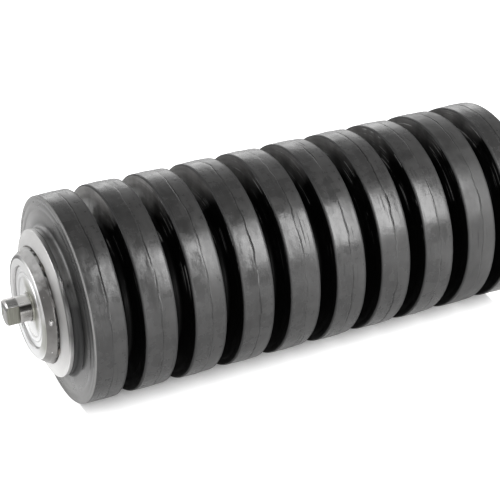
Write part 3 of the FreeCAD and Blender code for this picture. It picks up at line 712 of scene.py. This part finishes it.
def cover_finish():
    """Dust covers: bright pressed steel, paler below as a painted reflection, darker at rim and bead, with
    painted shade beside the shaft on one side.
    """
    finish = Finish("cover_steel", 0.75)
    lathe = finish.group(LATHE, Pitch=2200.0, Shift=5.0)
    radius = lathe["Radius"]
    clouds = finish.group(CLOUDS, Stain_Scale=70.0, Grain_Scale=1500.0, Shift=1.7)
    place = finish.place()

    bright = finish.colour(finish.span(clouds["Stain"], *NOISE_SPREAD), grey(0.62), grey(0.76))
    # Painted reflection: paler below.
    bright = finish.colour(finish.span(place["Z"], 0.0, -20.0 * MM), bright, grey(0.84))
    # Painted shade beside the shaft on one side.
    shade_reach = finish.swayed(radius, clouds["Stain"], 4.0 * MM)
    side_shade_patch = finish.span(shade_reach, COVER_HOLE + 14.0 * MM, COVER_HOLE + 6.0 * MM)
    one_side = finish.span(finish.lean(place, 0.8, 0.6), 0.0, 6.0 * MM, 0.0, 0.9)
    bright = finish.colour(finish.product(side_shade_patch, one_side), bright, (0.26, 0.26, 0.22, 1))
    # Darker at the rim and in the bead.
    rim_darkening = finish.span(radius, MOUTH_RADIUS - 1.6 * MM, MOUTH_RADIUS - 0.5 * MM)
    from_bead = finish.apart(finish.apart(radius, BEAD_RADIUS), BEAD_HALF)
    bead_darkening = finish.span(from_bead, 0.2 * MM, 0.7 * MM, 0.4, 0.0)
    darkening = finish.math("MAXIMUM", rim_darkening, bead_darkening)
    darkening = finish.product(darkening, finish.span(clouds["Stain"], 0.35, 0.6, 0.5, 1.0))
    finish.set("Base Color", finish.colour(darkening, bright, grey(0.14, 0.04)))

    turned = finish.span(lathe["Mask"], *WIDE_SPREAD, 0.26, 0.4)
    finish.set("Roughness", finish.math("MULTIPLY_ADD", darkening, 0.2, turned))
    finish.bump(finish.math("ADD", lathe["Mask"], clouds["Grain"]), 0.12, 0.04 * MM)
    return finish.material


def bar_finish():
    """Shaft: drawn steel, plain below, with a painted dark reflection under a painted bright reflection on
    top, and milled flats.
    """
    finish = Finish("shaft_steel", 1.0)
    drawn = finish.group(STREAKS, Round_Scale=1400.0, Along_Scale=60.0, Detail=3.0)["Mask"]
    milled = finish.group(STREAKS, Round_Scale=90.0, Along_Scale=1900.0, Detail=2.0, Shift=1.0)["Mask"]
    clouds = finish.group(CLOUDS, Stain_Scale=120.0, Grain_Scale=1500.0, Shift=2.6)
    flat = finish.stored("flat")
    place = finish.place()

    stain = finish.span(clouds["Stain"], *NOISE_SPREAD)
    plain = finish.colour(stain, grey(0.3, 0.03), grey(0.42, 0.02))
    # Painted reflections on the round: a dark band under a bright top.
    painted_dark_reflection = finish.colour(stain, grey(0.05, 0.03), grey(0.09, 0.02))
    painted_bright_reflection = finish.colour(stain, grey(0.88, 0.02), grey(0.96, 0.01))
    dark_reflection_place = finish.span(place["Z"], 2.6 * MM, 3.6 * MM)
    past_flat = finish.math("SUBTRACT", finish.math("ABSOLUTE", place["Y"]), FLAT_START)
    before_flat = finish.span(past_flat, 0.5 * MM, -0.5 * MM, 0.45, 1.0)
    bright_reflection_place = finish.product(finish.span(place["Z"], 6.6 * MM, 7.4 * MM), before_flat)
    round_face = finish.colour(bright_reflection_place, finish.colour(dark_reflection_place, plain, painted_dark_reflection), painted_bright_reflection)
    cut = finish.span(milled, *NOISE_SPREAD)
    flat_face = finish.colour(cut, (0.16, 0.16, 0.138, 1), (0.24, 0.24, 0.21, 1))
    finish.set("Base Color", finish.colour(flat, round_face, flat_face))
    finish.set("Metallic", finish.blend(bright_reflection_place, 1.0, 0.4))

    drawn_gloss = finish.span(drawn, *WIDE_SPREAD, 0.24, 0.38)
    milled_gloss = finish.span(milled, *WIDE_SPREAD, 0.42, 0.55)
    finish.set("Roughness", finish.blend(flat, drawn_gloss, milled_gloss))
    finish.bump(finish.blend(flat, drawn, milled), 0.2, 0.05 * MM)
    return finish.material


def steel_finish(name, low, high, roughness, metallic=1.0):
    """Finish of the pieces that sit inside or out of sight: stained, grained and turned."""
    uneven = 0.06
    finish = Finish(name, metallic)
    marks = finish.group(LATHE, Pitch=1100.0, Shift=low[0])["Mask"]
    clouds = finish.group(CLOUDS, Stain_Scale=60.0, Grain_Scale=1100.0, Shift=high[0])
    finish.set("Base Color", finish.colour(finish.span(clouds["Stain"], *NOISE_SPREAD), low, high))
    finish.set("Roughness", finish.span(marks, *WIDE_SPREAD, roughness - uneven, roughness + uneven))
    finish.bump(finish.math("ADD", marks, clouds["Grain"]), 0.15, 0.05 * MM)
    return finish.material


FINISHES = {
    "disc_rubber": rubber_finish(),
    "disc_side": side_finish(),
    "disc_gap": gap_finish(),
    "plated_steel": plate_finish(),
    "cast_housing": casting_finish(),
    "cover_steel": cover_finish(),
    "shaft_steel": bar_finish(),
    "tube_steel": steel_finish("tube_steel", grey(0.16, 0.05), grey(0.24, 0.06), 0.45),
    "weld_metal": steel_finish("weld_metal", grey(0.08, 0.1), grey(0.2, 0.08), 0.4),
    "bearing_steel": steel_finish("bearing_steel", grey(0.55), grey(0.66), 0.2),
    "cage_steel": steel_finish("cage_steel", grey(0.4, 0.02), grey(0.5, 0.02), 0.32),
    "spring_steel": steel_finish("spring_steel", grey(0.03), grey(0.06), 0.4, 0.8),
    "seal_plastic": steel_finish("seal_plastic", (0.02, 0.03, 0.05, 1), (0.03, 0.04, 0.06, 1), 0.45, 0.0),
    "seal_rubber": steel_finish("seal_rubber", grey(0.01), grey(0.02), 0.5, 0.0),
}

# Rubber discs
TURNED = turned_tree()
MOULDED = disc_tree(TURNED)
DISC_STEPS = 300
COARSE_STEP = 1.2 * MM
FINE_STEP = 0.2 * MM
FINE_HALF = 2.4 * MM
DRAFT_CURVE = 1.5
LINE_PLACE = 0.9 * MM
LINE_HALF = 0.55 * MM
LINE_DEPTH = 0.4 * MM
LINE_WANDER = 3.0 * MM
LINE_WANDER_MORE = 3.2 * MM
FACE_WANDER = 0.5 * MM
MOULD_STEP = 0.12 * MM
MOULD_STEP_MORE = 0.1 * MM
MOULD_RINGS = (69.0 * MM, 74.5 * MM)
CREASE_HALF = 0.8 * MM
CREASE_DEPTH = 0.2 * MM
STEP_STRIDE = 7
WANDER_STRIDE = 3
NEAR_STEP_EVERY = 3
SEED_STEP = 0.37
# Dust and painted light on the faces between the discs, strongest on the first disc and less on each next
# one.
FIRST_DUST_AND_LIGHT = 1.15
DUST_AND_LIGHT_DROP = 0.2
LEAST_DUST_AND_LIGHT = 0.4


def spread(low, high, step):
    """Even places from one end to the other, about a step apart."""
    count = max(1, round((high - low) / step))
    return [low + (high - low) * index / count for index in range(count + 1)]


def shuffled(order, stride):
    """One of five even shares from 0 to 1, so that neighbours differ."""
    shares = 5
    return (order * stride) % shares / (shares - 1)


def disc_corners(middle):
    """Corners of one disc's outline: bore, hub, sloping sides, rounded rim and points across its face."""
    half_rim = RIM_WIDTH / 2
    half_hub = DISC_LENGTH / 2
    edge_radius = DISC_RADIUS - RIM_DRAFT
    across = (spread(-half_rim + 2 * EDGE_ROUNDING, LINE_PLACE - FINE_HALF, COARSE_STEP)
              + spread(LINE_PLACE - FINE_HALF, LINE_PLACE + FINE_HALF, FINE_STEP)[1:-1]
              + spread(LINE_PLACE + FINE_HALF, half_rim - 2 * EDGE_ROUNDING, COARSE_STEP))
    face = [(middle + place, DISC_RADIUS - RIM_DRAFT * abs(place / half_rim) ** DRAFT_CURVE, SHARP, MARKED)
            for place in across]
    creases = []
    for radius in MOULD_RINGS:
        surface = half_rim + SIDE_DRAFT * (edge_radius - radius) / (edge_radius - HUB_RADIUS)
        creases += [(surface, radius - CREASE_HALF),
                    (surface - CREASE_DEPTH, radius),
                    (surface, radius + CREASE_HALF)]
    return ([(middle - half_hub, TUBE_RADIUS, SHARP, PLAIN),
             (middle - half_hub, HUB_RADIUS, SHARP, PLAIN),
             (middle - half_rim - SIDE_DRAFT, HUB_RADIUS, ROOT_ROUNDING, PLAIN)]
            + [(middle - place, radius, SHARP, PLAIN) for place, radius in creases]
            + [(middle - half_rim, edge_radius, EDGE_ROUNDING, MARKED)]
            + face
            + [(middle + half_rim, edge_radius, EDGE_ROUNDING, MARKED)]
            + [(middle + place, radius, SHARP, PLAIN) for place, radius in reversed(creases)]
            + [(middle + half_rim + SIDE_DRAFT, HUB_RADIUS, ROOT_ROUNDING, PLAIN),
               (middle + half_hub, HUB_RADIUS, SHARP, PLAIN),
               (middle + half_hub, TUBE_RADIUS, SHARP, PLAIN)])


for order, node in enumerate(DISC_NAMES):
    middle = middle_of(node)
    source = outline_object(f"rubber_{node}", rounded_outline(disc_corners(middle)))
    step = MOULD_STEP + MOULD_STEP_MORE * shuffled(order, STEP_STRIDE)
    near = step if order % NEAR_STEP_EVERY == 0 else 0.0
    disc = grown(
        source, MOULDED, Steps=DISC_STEPS, Middle=middle + LINE_PLACE, Wander=FACE_WANDER,
        Line_Wander=LINE_WANDER + LINE_WANDER_MORE * shuffled(order, WANDER_STRIDE), Line_Width=LINE_HALF,
        Line_Depth=LINE_DEPTH, Near_Step=near, Far_Step=step - near, Seed=SEED_STEP * (order + 1),
        Stack_End=OUTER_FACE - MM, Dust=max(LEAST_DUST_AND_LIGHT, FIRST_DUST_AND_LIGHT - DUST_AND_LIGHT_DROP * order),
        Material=FINISHES["disc_rubber"], Side_Material=FINISHES["disc_side"],
        Gap_Material=FINISHES["disc_gap"])
    hand_over(disc, "roller", "disc_rubber", node)

# Steel ends, whose corners are given by their depth behind the nose's lip
TURN_STEPS = 200
NOSE_LENGTH = NOSE_END - TUBE_END
TAPER_LENGTH = NOSE_LENGTH - 2.0 * MM
RING_DEPTH = NOSE_END - RING_BACK
BRIGHT_SHARE = 0.16
TUBE_BORE = TUBE_RADIUS - 4.0 * MM
SPIGOT_END = NOSE_LENGTH + 22.0 * MM
SPIGOT_BORE = TUBE_BORE - 4.0 * MM
CHAMBER_END = 14.3 * MM
WEB_END = CHAMBER_END + 4.5 * MM
BEARING_RADIUS = 23.5 * MM
BEARING_END = CHAMBER_END + 15.0 * MM
BOSS_RADIUS = BEARING_RADIUS + 5.0 * MM
BOSS_END = BEARING_END + 4.5 * MM
REAR_BORE = BEARING_RADIUS - 3.0 * MM
HOUSING = [
    (0.0, MOUTH_RADIUS, SOFT_EDGE, MARKED),
    (0.0, LIP_RADIUS, CAST_EDGE, MARKED),
    (TAPER_LENGTH * BRIGHT_SHARE, LIP_RADIUS + (NOSE_ROOT - LIP_RADIUS) * BRIGHT_SHARE, SHARP, PLAIN),
    (TAPER_LENGTH, NOSE_ROOT, CAST_EDGE, PLAIN),
    (NOSE_LENGTH, NOSE_ROOT, FINE_EDGE, PLAIN),
    (NOSE_LENGTH, TUBE_BORE, SHARP, PLAIN),
    (SPIGOT_END, TUBE_BORE, SOFT_EDGE, PLAIN),
    (SPIGOT_END, SPIGOT_BORE, SOFT_EDGE, PLAIN),
    (WEB_END, SPIGOT_BORE, CAST_EDGE, PLAIN),
    (WEB_END, BOSS_RADIUS, CAST_EDGE, PLAIN),
    (BOSS_END, BOSS_RADIUS, SOFT_EDGE, PLAIN),
    (BOSS_END, REAR_BORE, FINE_EDGE, PLAIN),
    (BEARING_END, REAR_BORE, SHARP, PLAIN),
    (BEARING_END, BEARING_RADIUS, SHARP, PLAIN),
    (CHAMBER_END, BEARING_RADIUS, FINE_EDGE, PLAIN),
    (CHAMBER_END, MOUTH_RADIUS, SHARP, PLAIN),
]
RING = [
    (NOSE_LENGTH, TUBE_RADIUS, FINE_EDGE, PLAIN),
    (RING_DEPTH - RING_EDGE, RING_RADIUS, SOFT_EDGE, PLAIN),
    (RING_DEPTH, RING_RADIUS, FINE_EDGE, PLAIN),
    (RING_DEPTH, TUBE_RADIUS, FINE_EDGE, PLAIN),
]
COVER_FRONT = 2.0 * MM
COVER_BACK = 3.5 * MM
COLLAR_FRONT = COVER_FRONT - 1.2 * MM
COLLAR_RADIUS = COVER_HOLE + 1.5 * MM
BEAD_FRONT = COVER_FRONT - 0.8 * MM
FLANGE_END = COVER_BACK + 0.9 * MM
FLANGE_BORE = MOUTH_RADIUS - 1.5 * MM
COVER = [
    (COLLAR_FRONT, COVER_HOLE, BROKEN_EDGE, PLAIN),
    (COLLAR_FRONT, COLLAR_RADIUS, SOFT_EDGE, PLAIN),
    (COVER_FRONT, COLLAR_RADIUS, SOFT_EDGE, PLAIN),
    (COVER_FRONT, BEAD_RADIUS - BEAD_HALF, PRESSED_EDGE, PLAIN),
    (BEAD_FRONT, BEAD_RADIUS - BEAD_HALF / 2, PRESSED_EDGE, PLAIN),
    (BEAD_FRONT, BEAD_RADIUS + BEAD_HALF / 2, PRESSED_EDGE, PLAIN),
    (COVER_FRONT, BEAD_RADIUS + BEAD_HALF, PRESSED_EDGE, PLAIN),
    (COVER_FRONT, MOUTH_RADIUS, FINE_EDGE, PLAIN),
    (FLANGE_END, MOUTH_RADIUS, BROKEN_EDGE, PLAIN),
    (FLANGE_END, FLANGE_BORE, BROKEN_EDGE, PLAIN),
    (COVER_BACK, FLANGE_BORE, FINE_EDGE, PLAIN),
    (COVER_BACK, COVER_HOLE, FINE_EDGE, PLAIN),
]


def turned_piece(name, side, corners, slot, node):
    """Makes one turned piece at one end of the roller, in place of its node."""
    placed = [(side * (NOSE_END - depth), radius, rounding, mark)
              for depth, radius, rounding, mark in corners]
    source = outline_object(name, rounded_outline(placed))
    piece = grown(source, TURNED, Steps=TURN_STEPS, Material=FINISHES[slot])
    hand_over(piece, "roller", slot, node)


for end, side in ENDS:
    turned_piece(f"housing_{end}", side, HOUSING, "cast_housing", f"bearing_housing_{end}")
    turned_piece(f"end_ring_{end}", side, RING, "plated_steel", f"retaining_ring_{end}")
    turned_piece(f"cover_{end}", side, COVER, "cover_steel", f"dust_cover_{end}")

# Tack welds, and spatter given by its angle in degrees, depth behind the lip in millimetres and size
DROPLETS = droplet_tree()
WELD_ANGLES = (67.0, 157.0, 247.0, 337.0)
WELD_REACH = 4.0
WELD_RIPPLES = 7
WELD_TAPER = 0.25
WELD_RADIUS = TUBE_RADIUS - 0.1 * MM
WELD_PLACE = TUBE_END + 0.1 * MM
SPATTER = ((12.0, 4.6, 1.9), (38.0, 3.1, 0.45), (64.0, 5.6, 0.5), (112.0, 2.6, 0.6), (171.0, 4.0, 0.8),
           (214.0, 5.2, 0.5), (263.0, 3.4, 0.7), (301.0, 2.9, 0.4), (334.0, 4.6, 0.55))


def droplet_source(name, drops):
    """An object of loose points given by angle, place along, radius and size."""
    places = []
    for angle, along, radius, size in drops:
        turn = math.radians(angle)
        places.append((radius * math.cos(turn), along, radius * math.sin(turn)))
    return point_object(name, places, [], size=[size for angle, along, radius, size in drops])


for end, side in ENDS:
    ripples = []
    for angle in WELD_ANGLES:
        for step in range(WELD_RIPPLES):
            share = step / (WELD_RIPPLES - 1) * 2 - 1
            size = 1.0 - WELD_TAPER * share * share
            ripples.append((angle + WELD_REACH * share, side * WELD_PLACE, WELD_RADIUS, size))
    welds = grown(droplet_source(f"weld_beads_{end}", ripples), DROPLETS, Across=0.75 * MM, Along=1.0 * MM,
                  Outward=1.0 * MM, Material=FINISHES["weld_metal"])
    hand_over(welds, "roller", "weld_metal", f"tack_welds_{end}")
    drops = []
    for angle, depth, size in SPATTER:
        radius = LIP_RADIUS + (NOSE_ROOT - LIP_RADIUS) * depth * MM / TAPER_LENGTH
        drops.append((angle, side * (NOSE_END - depth * MM), radius, size))
    spatter = grown(droplet_source(f"weld_spatter_{end}", drops), DROPLETS, Across=1.3 * MM, Along=1.1 * MM,
                    Outward=0.6 * MM, Material=FINISHES["plated_steel"])
    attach(spatter, "roller")

# Shaft
BAR_STEPS = 160
CHAMFER = 1.0 * MM
GROOVE = 0.5 * MM
GROOVE_OUTER = NOSE_END - COVER_BACK - 1.0 * MM
GROOVE_INNER = GROOVE_OUTER - 1.2 * MM
FLAT_SHOULDER = 0.02 * MM
half_bar = [
    (GROOVE_INNER, SHAFT_RADIUS, SHARP, PLAIN),
    (GROOVE_INNER, SHAFT_RADIUS - GROOVE, SHARP, PLAIN),
    (GROOVE_OUTER, SHAFT_RADIUS - GROOVE, SHARP, PLAIN),
    (GROOVE_OUTER, SHAFT_RADIUS, SHARP, PLAIN),
    (FLAT_START - FLAT_SHOULDER, SHAFT_RADIUS, SHARP, PLAIN),
    (FLAT_START, SHAFT_RADIUS, SHARP, MARKED),
    (SHAFT_END - CHAMFER, SHAFT_RADIUS, BROKEN_EDGE, MARKED),
    (SHAFT_END, SHAFT_RADIUS - CHAMFER, BROKEN_EDGE, MARKED),
    (SHAFT_END, 0.0, SHARP, MARKED),
]
other_half = [(-along, radius, rounding, mark) for along, radius, rounding, mark in reversed(half_bar)]
bar_source = outline_object("shaft_bar", rounded_outline(other_half + half_bar), closed=False)
bar = grown(bar_source, bar_tree(TURNED), Steps=BAR_STEPS, Flat_Half=FLAT_HALF,
            Material=FINISHES["shaft_steel"])
hand_over(bar, "shaft", "shaft_steel", "shaft")

# Nodes shown as the CAD made them
INNER_SLOTS = {
    "inner_race": "bearing_steel",
    "outer_race": "bearing_steel",
    "balls": "bearing_steel",
    "cage": "cage_steel",
    "circlip": "spring_steel",
    "fixed_seal": "seal_plastic",
    "turning_seal": "seal_plastic",
    "rear_seal": "seal_rubber",
}


def paint_node(name, slot):
    """Gives a CAD node its finish."""
    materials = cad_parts[name].data.materials
    materials.clear()
    materials.append(FINISHES[slot])


paint_node("tube", "tube_steel")
for end, side in ENDS:
    for name, slot in INNER_SLOTS.items():
        paint_node(f"{name}_{end}", slot)

# Floor
FLOOR = cad_box[0][2]
FLOOR_HALF = 6.0
WHITE = (1, 1, 1, 1)


def floor_finish():
    """White floor that takes the shadow near the roller and shows plain white further off, in metal too."""
    end_stretch = 30.0
    finish = Finish("studio_floor", 0.0)
    finish.set("Base Color", (0.9, 0.9, 0.9, 1))
    finish.set("Roughness", 0.9)
    finish.set("Specular IOR Level", 0.0)
    finish.set("Emission Color", WHITE)
    place = finish.place()
    along = finish.math("ABSOLUTE", place["Y"])
    past_end = finish.math("MAXIMUM", finish.math("SUBTRACT", along, OUTER_FACE), 0.0)
    past_rim = finish.math("MAXIMUM", finish.math("SUBTRACT", along, OUTER_FACE - 6.0 * MM), 0.0)
    stretched = finish.product(past_rim, end_stretch)
    squares = finish.math("MULTIPLY_ADD", place["X"], place["X"], finish.product(stretched, stretched))
    away = finish.math("SQRT", squares)
    shown = finish.span(away, 18.0 * MM, 62.0 * MM, 0.0, 0.85)
    near_end = finish.span(past_end, 0.0, 10.0 * MM)
    # Painted glow for glossy rays: beside each end and in front, the floor glows brighter in the steel's
    # reflections.
    beside = finish.product(near_end, finish.span(past_end, 30.0 * MM, 100.0 * MM, 1.0, 0.2))
    in_front = finish.span(place["X"], 80.0 * MM, 500.0 * MM, 0.0, 0.5)
    mirrored = finish.math("MAXIMUM", beside, in_front)
    path = finish.add("ShaderNodeLightPath").outputs
    by_gloss = finish.product(path["Is Glossy Ray"], mirrored)
    finish.set("Emission Strength", finish.math("MULTIPLY_ADD", path["Is Camera Ray"], shown, by_gloss))
    return finish.material


floor_corners = [(-FLOOR_HALF, -FLOOR_HALF, FLOOR), (FLOOR_HALF, -FLOOR_HALF, FLOOR),
                 (FLOOR_HALF, FLOOR_HALF, FLOOR), (-FLOOR_HALF, FLOOR_HALF, FLOOR)]
floor_mesh = bpy.data.meshes.new("studio_floor")
floor_mesh.from_pydata(floor_corners, [], [(0, 1, 2, 3)])
floor_mesh.materials.append(floor_finish())
floor = linked_object("studio_floor", floor_mesh)


# Lights and world

def area_light(name, place, target, width, height, radiance):
    """A rectangular lamp of one brightness per area, turned to a target."""
    data = bpy.data.lights.new(name, "AREA")
    data.shape = "RECTANGLE"
    data.size = width
    data.size_y = height
    data.energy = radiance * math.pi * width * height
    lamp = linked_object(name, data)
    lamp.location = place
    lamp.rotation_euler = (Vector(target) - Vector(place)).to_track_quat("-Z", "Y").to_euler()
    lamp.visible_camera = False
    return lamp


area_light("key_softbox", (1.0, 0.6, 0.85), (0.05, 0.03, 0.03), width=0.54, height=1.06, radiance=11.0)
area_light("back_panel", (-1.7, 0.55, 0.36), (0.0, 0.0, 0.05), width=3.2, height=0.75, radiance=1.4)
area_light("left_softbox", (-0.54, -1.73, 0.68), (0.0, -0.15, 0.0), width=1.0, height=1.0, radiance=4.5)
gap_lamp = area_light("low_gap_lamp", (-1.91, -0.56, 0.17), (0.0, 0.0, 0.05), width=0.45, height=0.28,
                      radiance=42.0)
gap_lamp.visible_glossy = False
area_light("front_fill", (2.2, -0.5, 0.25), (0.0, 0.0, 0.0), width=1.2, height=0.5, radiance=9.0)

world = bpy.data.worlds.new("studio")
bpy.context.scene.world = world
world.use_nodes = True
sky = Graph(world.node_tree)
background = world.node_tree.nodes["Background"]
across, along, height = sky.parts(sky.add("ShaderNodeTexCoord").outputs["Generated"])
overhead = sky.span(height, 0.25, 0.85, 0.95, 0.12)
facing = sky.product(sky.span(along, 0.1, -0.5), sky.span(across, -0.6, 0.4))
reflected = sky.product(overhead, sky.blend(facing, 1.0, 0.4))
path = sky.add("ShaderNodeLightPath").outputs
around = sky.blend(path["Is Glossy Ray"], 0.18, reflected)
sky.feed(background.inputs["Strength"], sky.blend(path["Is Camera Ray"], around, 1.0))
background.inputs["Color"].default_value = WHITE

# Camera, placed from the middle of the nearest disc's outer face
VIEW_AZIMUTH = math.radians(63.644)
VIEW_ELEVATION = math.radians(29.627)
VIEW_RIGHT = 0.14327
VIEW_UP = 0.03721
VIEW_BACK = 1.14554
SENSOR_WIDTH = 36.0
LENS = 111.71
right = Vector((math.cos(VIEW_AZIMUTH), math.sin(VIEW_AZIMUTH), 0.0))
back = Vector((math.sin(VIEW_AZIMUTH) * math.cos(VIEW_ELEVATION),
               -math.cos(VIEW_AZIMUTH) * math.cos(VIEW_ELEVATION), math.sin(VIEW_ELEVATION)))
up = back.cross(right)
near_face = Vector((0.0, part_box(DISC_NAMES[0])[0][1] + (DISC_LENGTH - RIM_WIDTH) / 2, 0.0))
stand = near_face + right * VIEW_RIGHT + up * VIEW_UP + back * VIEW_BACK
camera_data = bpy.data.cameras.new("camera")
camera_data.sensor_width = SENSOR_WIDTH
camera_data.lens = LENS
camera = linked_object("camera", camera_data)
camera.matrix_world = Matrix.Translation(stand) @ Matrix((right, up, back)).transposed().to_4x4()
bpy.context.scene.camera = camera
bpy.context.scene.view_settings.view_transform = "Standard"
